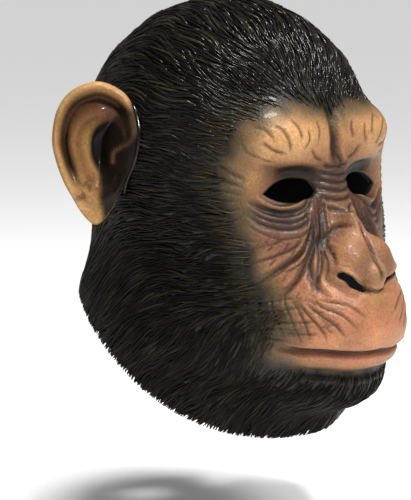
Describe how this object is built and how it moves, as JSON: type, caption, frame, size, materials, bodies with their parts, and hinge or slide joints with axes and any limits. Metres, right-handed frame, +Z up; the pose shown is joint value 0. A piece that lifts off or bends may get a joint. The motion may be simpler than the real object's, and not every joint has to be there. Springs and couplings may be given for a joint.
{
  "type": "full-head animal mask",
  "caption": "Full-head latex chimpanzee mask: hollow head shell with sculpted hair and face, cut eye holes and nostrils, cupped ears and an open neck.",
  "frame": {"origin": "inside of the crown on the midplane, where the top of the wearer's head carries the mask", "axes": "+Z up, the face looks along -Y, +X is the mask's left side"},
  "size_m": [0.2604, 0.2685, 0.2901],
  "materials": {
    "head_latex": "satin painted latex, black-brown hair and tan skin",
    "ear_latex": "satin painted latex, tan with dark hollows"
  },
  "bodies": {
    "root": {"mask_shell": "head_latex", "ear_right": "ear_latex", "ear_left": "ear_latex"}
  },
  "joints": []
}
